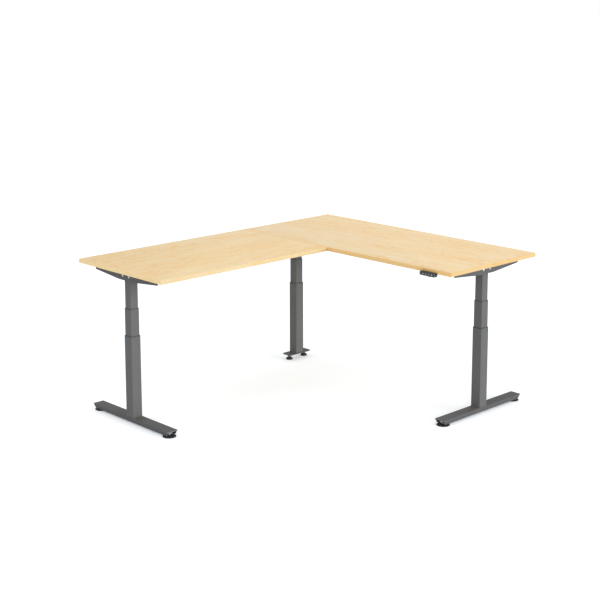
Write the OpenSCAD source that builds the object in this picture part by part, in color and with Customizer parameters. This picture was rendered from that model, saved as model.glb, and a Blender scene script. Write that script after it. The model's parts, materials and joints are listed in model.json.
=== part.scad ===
// Corner standing desk: two worktops on three electric telescopic columns.
// Millimetres, +Z up. The floor is z = 0 and the origin is the middle of the footprint.
// The desk is drawn at its resting height, with every foot glide screwed right in.

/* [Worktops] */
// Length of the main top, along X
main_len = 1800; // [1500:10:2000]
// Depth of the main top, along Y
main_depth = 800; // [700:10:900]
// Length of the return top, along Y from the main top's front edge
return_len = 1300; // [1000:10:1500]
// Width of the return top, along X
return_width = 800; // [700:10:900]
// Thickness of both tops
top_t = 25; // [18:1:40]
// Rounding of the tops' long edges
top_edge_r = 1.5; // [0.5:0.5:4]

/* [Columns] */
// Right column's axis, in from the main top's right end
right_inset = 96; // [80:1:160]
// Corner column's axis, in from the main top's left end
corner_inset = 98; // [80:1:160]
// Left column's axis, in from the return top's free end
left_inset = 87; // [80:1:160]
// Width across the thinnest, innermost tube
inner_tube_w = 55; // [52:0.5:60]
// Wall of every tube
tube_wall = 1.5; // [1.2:0.1:2]
// Outside corner radius of every tube
tube_corner_r = 4; // [3:0.5:6]
// Space between the inner and the middle tube, on each side
inner_gap = 1.5; // [1.2:0.1:2.5]
// Space between the middle and the outer tube, on each side
outer_gap = 2; // [1.2:0.1:3]
// Length of the outer tube, with its rim
outer_tube_len = 495; // [450:1:520]
// Length of the middle tube, with its rim
middle_tube_len = 490; // [450:1:500]
// Length of the inner tube
inner_tube_len = 496; // [460:1:510]
// How much of the middle tube shows at rest
middle_show = 165; // [160:1:200]
// How much of the inner tube shows below its arm at rest
inner_show = 168; // [160:1:200]

/* [Guides] */
// Height of the plastic rim on each tube mouth
rim_h = 3; // [2:0.5:5]
// Depth of the guide sleeve inside each tube mouth
sleeve_len = 60; // [40:1:80]
// Height of the slider round the foot of each moving tube
slider_len = 40; // [30:1:60]
// Plate that closes the foot of the middle tube
tube_floor_t = 4; // [3:0.5:6]

/* [Spindle drive] */
// Diameter of the upper spindle
upper_spindle_d = 12; // [10:0.5:13]
// Length of the upper spindle below the column head
upper_spindle_len = 515; // [480:1:520]
// Diameter of the lower, hollow spindle
lower_spindle_d = 20; // [19:0.5:21]
// Length of the lower spindle
lower_spindle_len = 362; // [340:1:380]
// Height of each drive nut
nut_h = 28; // [20:1:32]
// Outside diameter of the tube that carries the upper nut
carrier_d = 38; // [37:0.5:42]
// Wall of that tube
carrier_wall = 3; // [2:0.5:3.5]
// Outside diameter of the tube that carries the lower nut
post_d = 28; // [26:0.5:28.5]
// How far the lower nut sits below the outer tube's mouth
post_drop = 40; // [30:1:60]
// Diameter of the motor can
motor_d = 38; // [30:1:39]
// Length of the motor can
motor_len = 105; // [80:1:140]

/* [Support arms] */
// Length of each arm
arm_len = 600; // [500:10:640]
// Width of each arm
arm_w = 74; // [72:1:84]
// Depth of each arm at its column
arm_depth = 52; // [48:1:60]
// Depth of each arm at its tips
arm_tip_depth = 30; // [20:1:40]
// Length over which the arm keeps its full depth
arm_flat = 130; // [126:1:180]
// Thickness of the arms' steel sheet
arm_wall = 3; // [2:0.5:3]
// Distance between the two bolts on each arm face
bolt_pitch = 60; // [60:1:70]
// Bolt axes below the underside of the top
bolt_drop = 25; // [22:1:28]
// Shank diameter of the arm bolts
bolt_d = 8; // [6:1:10]
// Diameter of the arms' holes for the screws that hold the tops
screw_hole_d = 6; // [4:0.5:8]
// Distance between those holes along an arm
screw_pitch = 80; // [60:5:90]

/* [Rails] */
// Distance between the two rails of a pair
rail_pitch = 100; // [92:1:104]
// Width of each rail
rail_w = 20; // [16:1:22]
// Height of each rail
rail_h = 38; // [30:1:42]
// Wall of the rails and thickness of their end plates
rail_wall = 2; // [1.5:0.5:3]

/* [Feet] */
// Length of each long foot
foot_len = 732; // [640:1:760]
// Width of each long foot across its top
foot_w = 76; // [72:1:90]
// Height of every foot's top face
foot_h = 40; // [36:1:45]
// Thickness of the long feet's sheet
foot_wall = 3; // [2:0.5:4]
// Bend radius outside the long feet's folds
foot_bend_r = 5; // [4.5:0.5:7]
// Height of the flanges' lower edge above the floor
flange_z = 10; // [9.5:0.5:14]
// Lean of each flange from upright, in degrees
flange_angle = 20; // [5:1:25]
// How far the top of a long foot runs on past its flanges
flange_lip = 7; // [2:1:20]
// How far the slanted end cut runs along the flange
flange_cut = 6; // [2:1:30]
// Rounding of the flanges' lower end corners
flange_corner_r = 14; // [4:1:16]
// Length of the corner column's foot plate
plate_len = 200; // [180:1:260]
// Width of that plate
plate_w = 80; // [76:1:100]
// Thickness of that plate
plate_t = 5; // [4:0.5:8]
// Corner radius of that plate
plate_corner_r = 16; // [6:1:24]

/* [Glides] */
// Diameter of the glides under the long feet
glide_d = 80; // [60:1:88]
// Axis of those glides, in from the foot's end
glide_inset = 33; // [30:1:60]
// Height of those glides' dome
glide_h = 10; // [7:0.5:12]
// Diameter of the glides under the foot plate
cone_glide_d = 46; // [36:1:56]
// Distance between the glides under the foot plate
cone_glide_pitch = 136; // [120:1:140]
// Height of those glides' cone
cone_glide_h = 16; // [12:0.5:16]
// Stem diameter of every glide
stem_d = 10; // [8:0.5:12]

/* [Handset] */
// Length of the handset
handset_len = 124; // [110:1:160]
// Height of its face
handset_h = 27; // [20:1:30]
// How far it stands in front of the top
handset_out = 20; // [12:1:30]
// How far it reaches below the underside of the top
handset_drop = 19; // [12:1:22]
// Its right end, in from the main top's right end
handset_inset = 101; // [60:1:300]
// Depth of the tongue that fixes it under the top
tongue_depth = 48; // [30:1:80]
// Length of each button
button_len = 13; // [8:1:16]
// Height of each button
button_h = 9; // [6:0.5:12]
// How far a button stands out of the face
button_proud = 0.9; // [0.8:0.1:1.5]

/* [Control box] */
// Length of the control box
box_len = 250; // [180:1:320]
// Depth of the control box
box_depth = 96; // [80:1:140]
// Height of the control box
box_h = 32; // [28:1:45]
// Its middle, right of the middle of the main top
box_x = 150; // [0:5:300]
// Length of the recessed bay for its plugs
bay_len = 170; // [120:1:240]

/* [Hidden] */
$fn = 48;

// Clearances
slide_play = 0.3;   // each side of anything that slides or turns
fit_play = 0.1;     // each side of a plastic part pressed onto a tube
hole_play = 0.25;   // each side of a bolt in its hole
cut = 1;            // how far a cutter runs past the face it cuts

// Tube widths, from the inside out
middle_tube_w = inner_tube_w + 2 * (inner_gap + tube_wall);
outer_tube_w = middle_tube_w + 2 * (outer_gap + tube_wall);

// Heights at rest, from the floor up
head_rise = 4;          // head plate above the arm's lower edge
outer_top = foot_h + outer_tube_len;
middle_top = outer_top + middle_show;
middle_bottom = middle_top - middle_tube_len;
arm_bottom = middle_top + inner_show;
underside = arm_bottom + arm_depth;
desk_h = underside + top_t;
head_z = arm_bottom + head_rise;
inner_bottom = head_z - inner_tube_len;

// Column head and gearmotor
head_t = 3;
head_w = arm_w - 2 * arm_wall;
head_len = 110;
head_top = underside - arm_wall - head_t;
hub_d = 24;             // hole in the head plate round the spindle
gearbox_w = 44;
gearbox_len = 44;
motor_z = head_z + head_t + motor_d / 2 + 1;
motor_cut_d = motor_d + 4;
can_lip = 3;            // step between the motor's end cap and its can
cap_len = 11;           // length of that cap
shaft_boss = 5;         // boss at the far end of the can

// Spindles and nuts
collar_d = 22;
collar_h = 4;
spindle_entry = 10;     // length of the upper spindle inside the gearbox
key_w = 3;
key_depth = 2;
lower_bore_d = upper_spindle_d + 1.4;
flange_d = carrier_d - 2 * carrier_wall - 2;
flange_h = 8;
bearing_h = 8;
flange_top = middle_top - nut_h - slide_play;
bearing_top = flange_top - flange_h - slide_play;
post_top = outer_top - post_drop;
post_bore_d = lower_spindle_d + 3;
post_floor_t = 6;

// Long feet and glides
rib_t = 3;
rib_gap = 12;                           // ribs beyond the column's faces
boss_d = stem_d + 8;
boss_h = 15;
glide_rim = 4;
glide_end = foot_len / 2 - glide_inset;
stem_gap = 0.5;                         // stem end below the plate above it
cone_top_d = 22;
cone_boss_h = 14;

// Bolts
bolt_head_d = bolt_d + 6;
bolt_head_h = 4;
bolt_nut_h = 6;
bolt_z = underside - bolt_drop;
screw_inset = 30;       // from an arm's tip to its first screw hole
screw_row = 40;         // between the two rows of screw holes

// Rails
rail_plate_w = rail_w + 4;

// Column places: x, y and turn. Local +Y runs along the arm and local -X looks along the rails.
main_left = -main_len / 2;
back = (main_depth + return_len) / 2;
seam = back - main_depth;
main_y = back - main_depth / 2;
right_col = [main_len / 2 - right_inset, main_y, 0];
corner_col = [main_left + corner_inset, main_y, 180];
left_col = [main_left + return_width / 2, seam - return_len + left_inset, -90];

// Handset
handset_x = main_len / 2 - handset_inset - handset_len / 2;
handset_z = underside - handset_drop + handset_h / 2;
handset_face = seam - handset_out;
button_pitch = 22;
button_body = 2.4;      // depth of a button inside its pocket
pocket_depth = 3.3;
tongue_len = handset_len - 2 * handset_h;

// Control box
box_wall_r = 5;
box_gap = 30;           // from the back rail to the control box
box_y = main_y + rail_pitch / 2 + rail_w / 2 + box_gap + box_depth / 2;
tab_len = 18;
tab_t = 3;
bay_h = 18;
bay_depth = 12;

// ---------- helpers ----------

module rounded(w, d, r) {
    square([w - 2 * r, d], center = true);
    square([w, d - 2 * r], center = true);
    for (x = [-1, 1], y = [-1, 1])
        translate([x * (w / 2 - r), y * (d / 2 - r)])
            circle(r);
}

module slot_shape(len, h) {
    square([len - h, h], center = true);
    for (x = [-1, 1])
        translate([x * (len - h) / 2, 0])
            circle(h / 2);
}

// A square ring: w outside, hole inside, standing from z0 to z1.
module ring(w, hole, r, hole_r, z0, z1) {
    translate([0, 0, z0])
        linear_extrude(z1 - z0)
            difference() {
                rounded(w, w, r);
                rounded(hole, hole, hole_r);
            }
}

// A square tube with its wall inside the width w.
module tube(w, z0, z1) {
    ring(w, w - 2 * tube_wall, tube_corner_r, tube_corner_r - tube_wall, z0, z1);
}

// A round bar or hole standing from z0 to z1.
module bar(d, z0, z1) {
    translate([0, 0, z0])
        cylinder(d = d, h = z1 - z0);
}

// Extrude a drawing along X: its x becomes Y and its y becomes Z.
module along_x(len) {
    translate([-len / 2, 0, 0])
        rotate([90, 0, 90])
            linear_extrude(len)
                children();
}

// Extrude a drawing along Y: its x stays X and its y becomes Z.
module along_y(len) {
    translate([0, len / 2, 0])
        rotate([90, 0, 0])
            linear_extrude(len)
                children();
}

module at(col) {
    translate([col[0], col[1], 0])
        rotate([0, 0, col[2]])
            children();
}

// ---------- worktops ----------

// A board with its long edges rounded top and bottom, standing on the frame.
module board(len, depth) {
    color("burlywood")
        translate([0, 0, underside + top_t / 2])
            intersection() {
                along_x(len)
                    rounded(depth, top_t, top_edge_r);
                along_y(depth)
                    rounded(len, top_t, top_edge_r);
            }
}

module main_top() {
    translate([0, main_y, 0])
        board(main_len, main_depth);
}

module return_top() {
    translate([left_col[0], seam - return_len / 2, 0])
        board(return_width, return_len);
}

// ---------- support arms, rails and bolts ----------

// The arm's outline seen from the side: full depth at the column, tapering to both tips.
module arm_side() {
    polygon([
        [-arm_len / 2, underside],
        [arm_len / 2, underside],
        [arm_len / 2, underside - arm_tip_depth],
        [arm_flat / 2, arm_bottom],
        [-arm_flat / 2, arm_bottom],
        [-arm_len / 2, underside - arm_tip_depth]
    ]);
}

// The arm's folded section: a channel open below, with rounded folds.
module arm_section() {
    translate([0, underside - arm_depth / 2])
        difference() {
            union() {
                rounded(arm_w, arm_depth, arm_wall + 1);
                translate([-arm_w / 2, -arm_depth / 2])
                    square([arm_w, arm_depth / 2]);
            }
            rounded(head_w, arm_depth - 2 * arm_wall, 1);
            translate([-head_w / 2, -arm_depth / 2 - cut])
                square([head_w, arm_depth / 2 + cut]);
        }
}

module arm() {
    color("dimgray")
        difference() {
            intersection() {
                along_x(arm_w)
                    arm_side();
                along_y(arm_len)
                    arm_section();
            }
            bolt_holes(arm_w);
            motor_hole();
            screw_holes();
        }
}

// Both bolt axes, drilled right across a piece of the given width.
module bolt_holes(width) {
    for (y = [-1, 1])
        translate([0, y * bolt_pitch / 2, bolt_z])
            rotate([0, 90, 0])
                cylinder(d = bolt_d + 2 * hole_play, h = width + 2 * cut, center = true);
}

// Three holes through the arm's top sheet at each end, on alternate sides of its middle.
module screw_holes() {
    for (end = [-1, 1], i = [0:2])
        translate([end * (i % 2 - 0.5) * screw_row, end * (arm_len / 2 - screw_inset - i * screw_pitch), 0])
            bar(screw_hole_d, underside - arm_wall - cut, underside + cut);
}

// The way out for the motor, on the side of the rails.
module motor_hole() {
    translate([-arm_w / 2 - cut, 0, motor_z])
        rotate([0, 90, 0])
            cylinder(d = motor_cut_d, h = arm_w / 2);
}

// One bolt with a low round head outside the arm and its nut inside the column head.
module bolt() {
    rotate([0, 90, 0]) {
        intersection() {
            bar(bolt_head_d, arm_w / 2, arm_w / 2 + bolt_head_h);
            translate([0, 0, arm_w / 2 + bolt_head_h - bolt_head_d])
                sphere(bolt_head_d);
        }
        bar(bolt_d, head_w / 2 - head_t - bolt_nut_h, arm_w / 2 + cut);
        bar(bolt_d * 1.6, head_w / 2 - head_t - bolt_nut_h, head_w / 2 - head_t);
    }
}

module arm_bolts() {
    color("silver")
        for (col = [right_col, corner_col, left_col], turn = [0, 180], y = [-1, 1])
            at(col)
                rotate([0, 0, turn])
                    translate([0, y * bolt_pitch / 2, bolt_z])
                        bolt();
}

// Two box rails with end plates, from the origin along +X.
module rail_pair(len) {
    color("dimgray")
        for (y = [-1, 1])
            translate([len / 2, y * rail_pitch / 2, underside - rail_h / 2]) {
                along_x(len - 2 * rail_wall)
                    difference() {
                        square([rail_w, rail_h], center = true);
                        square([rail_w - 2 * rail_wall, rail_h - 2 * rail_wall], center = true);
                    }
                for (x = [-1, 1])
                    translate([x * (len - rail_wall) / 2, 0, 0])
                        cube([rail_wall, rail_plate_w, rail_h], center = true);
            }
}

module main_rails() {
    translate([corner_col[0] + arm_w / 2, main_y, 0])
        rail_pair(right_col[0] - corner_col[0] - arm_w);
}

module return_rails() {
    translate([left_col[0], left_col[1] + arm_w / 2, 0])
        rotate([0, 0, 90])
            rail_pair(main_y - rail_pitch / 2 - rail_w / 2 - left_col[1] - arm_w / 2);
}

// ---------- column head and gearmotor ----------

// A folded cradle inside the arm: the inner tube is welded under it, the arm bolts to its sides.
module column_head() {
    color("gray")
        difference() {
            translate([0, 0, (head_z + head_top) / 2])
                along_y(head_len)
                    difference() {
                        square([head_w, head_top - head_z], center = true);
                        translate([0, head_t])
                            square([head_w - 2 * head_t, head_top - head_z], center = true);
                    }
            bar(hub_d, head_z - cut, head_z + head_t + cut);
            bolt_holes(arm_w);
            motor_hole();
        }
}

// Right-angle gearbox over the spindle, with the motor lying along the rails.
module gearmotor() {
    gearbox_bottom = head_z + head_t;
    gearbox_h = motor_d + 2;
    color("darkslategray")
        difference() {
            union() {
                translate([0, 0, gearbox_bottom])
                    linear_extrude(gearbox_h)
                        rounded(gearbox_w, gearbox_len, 6);
                translate([-gearbox_w / 2, 0, motor_z])
                    rotate([0, -90, 0]) {
                        bar(motor_d, -cut, cap_len);
                        bar(motor_d - can_lip, 0, motor_len);
                        bar(motor_d * 0.4, 0, motor_len + shaft_boss);
                    }
            }
            bar(upper_spindle_d + 2 * slide_play, gearbox_bottom - cut, head_z + spindle_entry + stem_gap);
        }
}

// ---------- spindles and nuts ----------

// The driven spindle: it turns in the gearbox and the upper nut, and a long keyway drives the lower one.
module upper_spindle() {
    end = head_z - upper_spindle_len;
    color("silver")
        difference() {
            union() {
                bar(upper_spindle_d, end, head_z + spindle_entry);
                bar(collar_d, head_z - slide_play - collar_h, head_z - slide_play);
            }
            translate([upper_spindle_d / 2 - key_depth, -key_w / 2 - slide_play, end - cut])
                cube([upper_spindle_d, key_w + 2 * slide_play, upper_spindle_len - 2 * collar_h]);
        }
}

// The hollow spindle that turns with it, hung by its flange from the upper nut's carrier.
module lower_spindle() {
    color("lightsteelblue") {
        difference() {
            union() {
                bar(lower_spindle_d, flange_top - lower_spindle_len, flange_top);
                bar(flange_d, flange_top - flange_h, flange_top);
            }
            bar(lower_bore_d, flange_top - lower_spindle_len - cut, flange_top + cut);
        }
        intersection() {
            bar(lower_bore_d + cut, flange_top - flange_h, flange_top);
            translate([upper_spindle_d / 2 - key_depth + slide_play, -key_w / 2, flange_top - flange_h])
                cube([lower_spindle_d, key_w, flange_h]);
        }
    }
}

// Tube on the middle stage's floor with the upper nut in its mouth and the lower spindle's bearing.
module nut_carrier() {
    color("goldenrod")
        difference() {
            bar(carrier_d, middle_bottom + tube_floor_t, middle_top);
            bar(carrier_d - 2 * carrier_wall, middle_bottom, bearing_top - bearing_h);
            bar(lower_spindle_d + 2 * slide_play, middle_bottom, bearing_top + cut);
            bar(flange_d + 2 * slide_play, bearing_top, middle_top - nut_h);
            bar(upper_spindle_d + 2 * slide_play, middle_bottom, middle_top + cut);
        }
}

// Post on the foot with the lower nut in its mouth.
module nut_post() {
    color("goldenrod")
        difference() {
            union() {
                translate([0, 0, foot_h])
                    linear_extrude(post_floor_t)
                        rounded(
                            outer_tube_w - 2 * (tube_wall + slide_play),
                            outer_tube_w - 2 * (tube_wall + slide_play),
                            tube_corner_r - tube_wall
                        );
                bar(post_d, foot_h, post_top);
            }
            bar(post_bore_d, foot_h - cut, post_top - nut_h);
            bar(lower_spindle_d + 2 * slide_play, foot_h, post_top + cut);
        }
}

// ---------- telescopic tubes and their guides ----------

module outer_tube() {
    color("dimgray")
        tube(outer_tube_w, foot_h, outer_top - rim_h);
}

// Rim and sleeve in a tube's mouth, running on the tube inside it.
module collar(outside, gap, top) {
    running = outside - 2 * (tube_wall + gap) + 2 * slide_play;
    pressed = outside - 2 * (tube_wall + fit_play);
    ring(outside, running, tube_corner_r, tube_corner_r + slide_play, top - rim_h, top);
    ring(pressed, running, tube_corner_r - tube_wall, tube_corner_r, top - rim_h - sleeve_len, top - rim_h);
}

// Ring pressed on a moving tube's foot, running in the tube outside it, with a lip below.
module slider(inside, gap, bottom, hole_d) {
    running = inside + 2 * (gap - slide_play);
    corner_r = tube_corner_r - tube_wall;
    ring(running, inside + 2 * fit_play, corner_r, tube_corner_r, bottom, bottom + slider_len);
    translate([0, 0, bottom - rim_h])
        linear_extrude(rim_h)
            difference() {
                rounded(running, running, corner_r);
                circle(d = hole_d);
            }
}

module lower_collar() {
    color("black")
        collar(outer_tube_w, outer_gap, outer_top);
}

module middle_tube() {
    color("slategray") {
        tube(middle_tube_w, middle_bottom, middle_top - rim_h);
        translate([0, 0, middle_bottom])
            linear_extrude(tube_floor_t)
                difference() {
                    rounded(middle_tube_w, middle_tube_w, tube_corner_r);
                    circle(d = post_d + 2 * cut);
                }
    }
}

module middle_guides() {
    color("black") {
        collar(middle_tube_w, inner_gap, middle_top);
        slider(middle_tube_w, outer_gap, middle_bottom, post_d + 4 * cut);
    }
}

module inner_tube() {
    color("gray")
        tube(inner_tube_w, inner_bottom, head_z);
}

module inner_slider() {
    color("black")
        slider(inner_tube_w, inner_gap, inner_bottom, carrier_d + 4 * cut);
}

// ---------- feet and glides ----------

// A leaning channel outline with rounded folds, filled, from its top down to its open edge.
module channel_outline(half_w, top, bottom, r) {
    centre = [half_w - r, top - r];
    fold_end = centre + r * [cos(flange_angle), -sin(flange_angle)];
    low_x = fold_end[0] - (fold_end[1] - bottom) * tan(flange_angle);
    for (side = [0, 1])
        mirror([side, 0]) {
            translate(centre)
                circle(r);
            polygon([
                [0, top],
                [centre[0], top],
                centre,
                fold_end,
                [low_x, bottom],
                [0, bottom]
            ]);
        }
}

// The long foot's end view: sheet folded down and in on both sides.
module foot_section() {
    difference() {
        channel_outline(foot_w / 2, foot_h, flange_z, foot_bend_r);
        channel_outline(foot_w / 2 - foot_wall, foot_h - foot_wall, flange_z - cut, foot_bend_r - foot_wall);
    }
}

// The long foot's side view: the top runs on past the flanges, which are cut back on a slant
// that ends in a rounded lower corner.
module foot_side() {
    lip_z = foot_h - foot_wall;
    flange_end = foot_len / 2 - flange_lip;
    slant = atan2(lip_z - flange_z, flange_cut);
    tangent = flange_corner_r * tan(slant / 2);
    corner = [flange_end - flange_cut, flange_z];
    for (side = [0, 1])
        mirror([side, 0]) {
            polygon([
                [0, foot_h],
                [foot_len / 2, foot_h],
                [foot_len / 2, lip_z],
                [flange_end, lip_z],
                corner + tangent * [cos(slant), sin(slant)],
                corner + [-tangent, flange_corner_r],
                corner - [tangent, 0],
                [0, flange_z]
            ]);
            translate(corner + [-tangent, flange_corner_r])
                circle(flange_corner_r);
        }
}

// Threaded boss under a plate, bored for a glide's stem.
module boss(top, h) {
    difference() {
        bar(boss_d, top - h, top);
        bar(stem_d + 2 * slide_play, top - h - cut, top - stem_gap / 2);
    }
}

module long_foot() {
    color("dimgray") {
        intersection() {
            along_y(foot_len)
                foot_section();
            along_x(foot_w)
                foot_side();
        }
        for (y = [-1, 1]) {
            translate([0, y * glide_end, 0])
                boss(foot_h - foot_wall, boss_h);
            translate([0, y * (outer_tube_w / 2 + rib_gap), 0])
                along_y(rib_t)
                    channel_outline(
                        foot_w / 2 - foot_wall,
                        foot_h - foot_wall,
                        flange_z + rib_t,
                        foot_bend_r - foot_wall
                    );
        }
    }
}

module corner_foot() {
    color("dimgray")
        at(corner_col) {
            translate([0, 0, foot_h - plate_t])
                linear_extrude(plate_t)
                    rounded(plate_w, plate_len, plate_corner_r);
            for (y = [-1, 1])
                translate([0, y * cone_glide_pitch / 2, 0])
                    boss(foot_h - plate_t, cone_boss_h);
        }
}

// Low domed glide with its stem in the foot's boss; way is -1 or 1 along the foot.
module dome_glide(way) {
    dome_r = (pow(glide_d / 2, 2) + pow(glide_h - glide_rim, 2)) / (2 * (glide_h - glide_rim));
    color("black")
        translate([0, way * glide_end, 0]) {
            intersection() {
                bar(glide_d, 0, glide_h);
                translate([0, 0, glide_h - dome_r])
                    sphere(dome_r, $fn = 180);
            }
            bar(stem_d, glide_rim, foot_h - foot_wall - stem_gap);
        }
}

// Conical glide under the foot plate.
module cone_glide(way) {
    color("black")
        translate([0, way * cone_glide_pitch / 2, 0]) {
            bar(cone_glide_d, 0, glide_rim);
            translate([0, 0, glide_rim])
                cylinder(d1 = cone_glide_d, d2 = cone_top_d, h = cone_glide_h - glide_rim);
            bar(stem_d, glide_rim, foot_h - plate_t - stem_gap);
        }
}

// ---------- handset and control box ----------

// Places a drawing on the handset's face, x along the top's front edge, depth running back along +Y.
module on_face(x, y, depth) {
    translate([handset_x + x, y, handset_z])
        rotate([-90, 0, 0])
            linear_extrude(depth)
                children();
}

module handset_body() {
    color("black")
        difference() {
            union() {
                on_face(0, handset_face, handset_out)
                    slot_shape(handset_len, handset_h);
                translate([handset_x, handset_face + handset_out / 2, underside - handset_drop])
                    translate([-tongue_len / 2, 0, 0])
                        cube([tongue_len, handset_out / 2 + tongue_depth, handset_drop]);
            }
            for (i = [0:3])
                on_face((i - 1.5) * button_pitch, handset_face - cut, pocket_depth + cut)
                    slot_shape(button_len + 2 * slide_play, button_h + 2 * slide_play);
        }
}

// One push button, counted from the left.
module button(i) {
    color("gray")
        on_face((i - 1.5) * button_pitch, handset_face - button_proud, button_proud + button_body)
            slot_shape(button_len, button_h);
}

module control_box() {
    color("darkslategray")
        translate([box_x, box_y, underside - box_h])
            difference() {
                union() {
                    linear_extrude(box_h)
                        rounded(box_len, box_depth, box_wall_r);
                    for (x = [-1, 1])
                        translate([x * box_len / 2, 0, box_h - tab_t])
                            linear_extrude(tab_t)
                                slot_shape(2 * tab_len, tab_len);
                }
                translate([0, -box_depth / 2, box_h / 2])
                    cube([bay_len, 2 * bay_depth, bay_h], center = true);
            }
}

// ---------- pieces ----------

main_top();
return_top();
at(right_col) arm();  // right_arm
at(corner_col) arm();  // corner_arm
at(left_col) arm();  // left_arm
arm_bolts();
main_rails();
return_rails();
control_box();
handset_body();
button(0);  // button_down
button(1);  // button_up
button(2);  // button_memory_1
button(3);  // button_memory_2
at(right_col) long_foot();  // right_foot
corner_foot();
at(left_col) long_foot();  // left_foot
at(right_col) dome_glide(-1);  // right_glide_front
at(right_col) dome_glide(1);  // right_glide_back
at(corner_col) cone_glide(1);  // corner_glide_front
at(corner_col) cone_glide(-1);  // corner_glide_back
at(left_col) dome_glide(-1);  // left_glide_outer
at(left_col) dome_glide(1);  // left_glide_inner
at(right_col) outer_tube();  // right_outer_tube
at(corner_col) outer_tube();  // corner_outer_tube
at(left_col) outer_tube();  // left_outer_tube
at(right_col) lower_collar();  // right_lower_collar
at(corner_col) lower_collar();  // corner_lower_collar
at(left_col) lower_collar();  // left_lower_collar
at(right_col) nut_post();  // right_nut_post
at(corner_col) nut_post();  // corner_nut_post
at(left_col) nut_post();  // left_nut_post
at(right_col) middle_tube();  // right_middle_tube
at(corner_col) middle_tube();  // corner_middle_tube
at(left_col) middle_tube();  // left_middle_tube
at(right_col) middle_guides();  // right_middle_guides
at(corner_col) middle_guides();  // corner_middle_guides
at(left_col) middle_guides();  // left_middle_guides
at(right_col) nut_carrier();  // right_nut_carrier
at(corner_col) nut_carrier();  // corner_nut_carrier
at(left_col) nut_carrier();  // left_nut_carrier
at(right_col) lower_spindle();  // right_lower_spindle
at(corner_col) lower_spindle();  // corner_lower_spindle
at(left_col) lower_spindle();  // left_lower_spindle
at(right_col) inner_tube();  // right_inner_tube
at(corner_col) inner_tube();  // corner_inner_tube
at(left_col) inner_tube();  // left_inner_tube
at(right_col) inner_slider();  // right_inner_slider
at(corner_col) inner_slider();  // corner_inner_slider
at(left_col) inner_slider();  // left_inner_slider
at(right_col) upper_spindle();  // right_upper_spindle
at(corner_col) upper_spindle();  // corner_upper_spindle
at(left_col) upper_spindle();  // left_upper_spindle
at(right_col) column_head();  // right_column_head
at(corner_col) column_head();  // corner_column_head
at(left_col) column_head();  // left_column_head
at(right_col) gearmotor();  // right_gearmotor
at(corner_col) gearmotor();  // corner_gearmotor
at(left_col) gearmotor();  // left_gearmotor
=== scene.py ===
"""Looks of the corner standing desk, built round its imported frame.

Each sub-assembly is a class with its own sizes, in metres unless a name ends in _mm, and each
kind of finish is a class too.
"""

import json
import logging
import math
from dataclasses import dataclass
from enum import Enum
from typing import Sequence

import bmesh
import bpy
import numpy as np
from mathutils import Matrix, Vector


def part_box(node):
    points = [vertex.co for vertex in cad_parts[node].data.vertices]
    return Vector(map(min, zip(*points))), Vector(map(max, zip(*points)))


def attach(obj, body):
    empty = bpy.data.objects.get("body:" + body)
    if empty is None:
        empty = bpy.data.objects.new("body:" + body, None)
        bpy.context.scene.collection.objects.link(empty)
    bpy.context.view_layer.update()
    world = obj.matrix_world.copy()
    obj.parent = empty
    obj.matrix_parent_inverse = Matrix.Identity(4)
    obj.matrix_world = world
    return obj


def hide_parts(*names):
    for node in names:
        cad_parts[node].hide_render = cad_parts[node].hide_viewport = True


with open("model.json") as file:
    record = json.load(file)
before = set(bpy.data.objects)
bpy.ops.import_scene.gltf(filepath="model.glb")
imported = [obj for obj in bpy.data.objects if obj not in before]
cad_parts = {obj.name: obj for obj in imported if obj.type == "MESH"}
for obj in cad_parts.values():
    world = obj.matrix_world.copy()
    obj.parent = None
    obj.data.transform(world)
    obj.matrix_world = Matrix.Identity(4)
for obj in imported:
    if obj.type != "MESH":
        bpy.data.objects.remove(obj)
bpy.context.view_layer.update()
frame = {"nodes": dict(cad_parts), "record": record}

Array = np.ndarray
Rgb = tuple[float, float, float]
Point = tuple[float, float, float]
Row = tuple[float, ...]
Socket = bpy.types.NodeSocket
Colour = Rgb | Socket
Sizes = float | Sequence[float] | Array

LOG = logging.getLogger("desk")
MM = 0.001
TAU = 2 * math.pi
MERGE = 1e-6
TINY = 1e-9
LEAST_RADIUS = 0.01 * MM
SMOOTH_UP_TO = math.radians(35)


def srgb(red: float, green: float, blue: float) -> Rgb:
    """A display colour with channels from 0 to 255, as linear light."""
    shares = (red / 255, green / 255, blue / 255)
    return tuple(c / 12.92 if c <= 0.04045 else ((c + 0.055) / 1.055) ** 2.4 for c in shares)


def tint(colour: Rgb, share: float, more: float = 0.0) -> Rgb:
    """A colour with each channel times share, plus more, and 1 at most."""
    return tuple(min(1.0, c * share + more) for c in colour)


# ---------- shader building ----------


class Value:
    """A number socket, whose sums, differences and products add Math nodes to its graph."""

    def __init__(self, graph: "Graph", socket: Socket) -> None:
        """Keep the socket and the graph it belongs to."""
        self.graph = graph
        self.socket = socket

    def __add__(self, other: "Value | float") -> "Value":
        """Sum."""
        return self.graph.math("ADD", self, other)

    def __sub__(self, other: "Value | float") -> "Value":
        """Difference."""
        return self.graph.math("SUBTRACT", self, other)

    def __rsub__(self, other: float) -> "Value":
        """Difference from a number."""
        return self.graph.math("SUBTRACT", other, self)

    def __mul__(self, other: "Value | float") -> "Value":
        """Product."""
        return self.graph.math("MULTIPLY", self, other)

    __radd__ = __add__
    __rmul__ = __mul__


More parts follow.
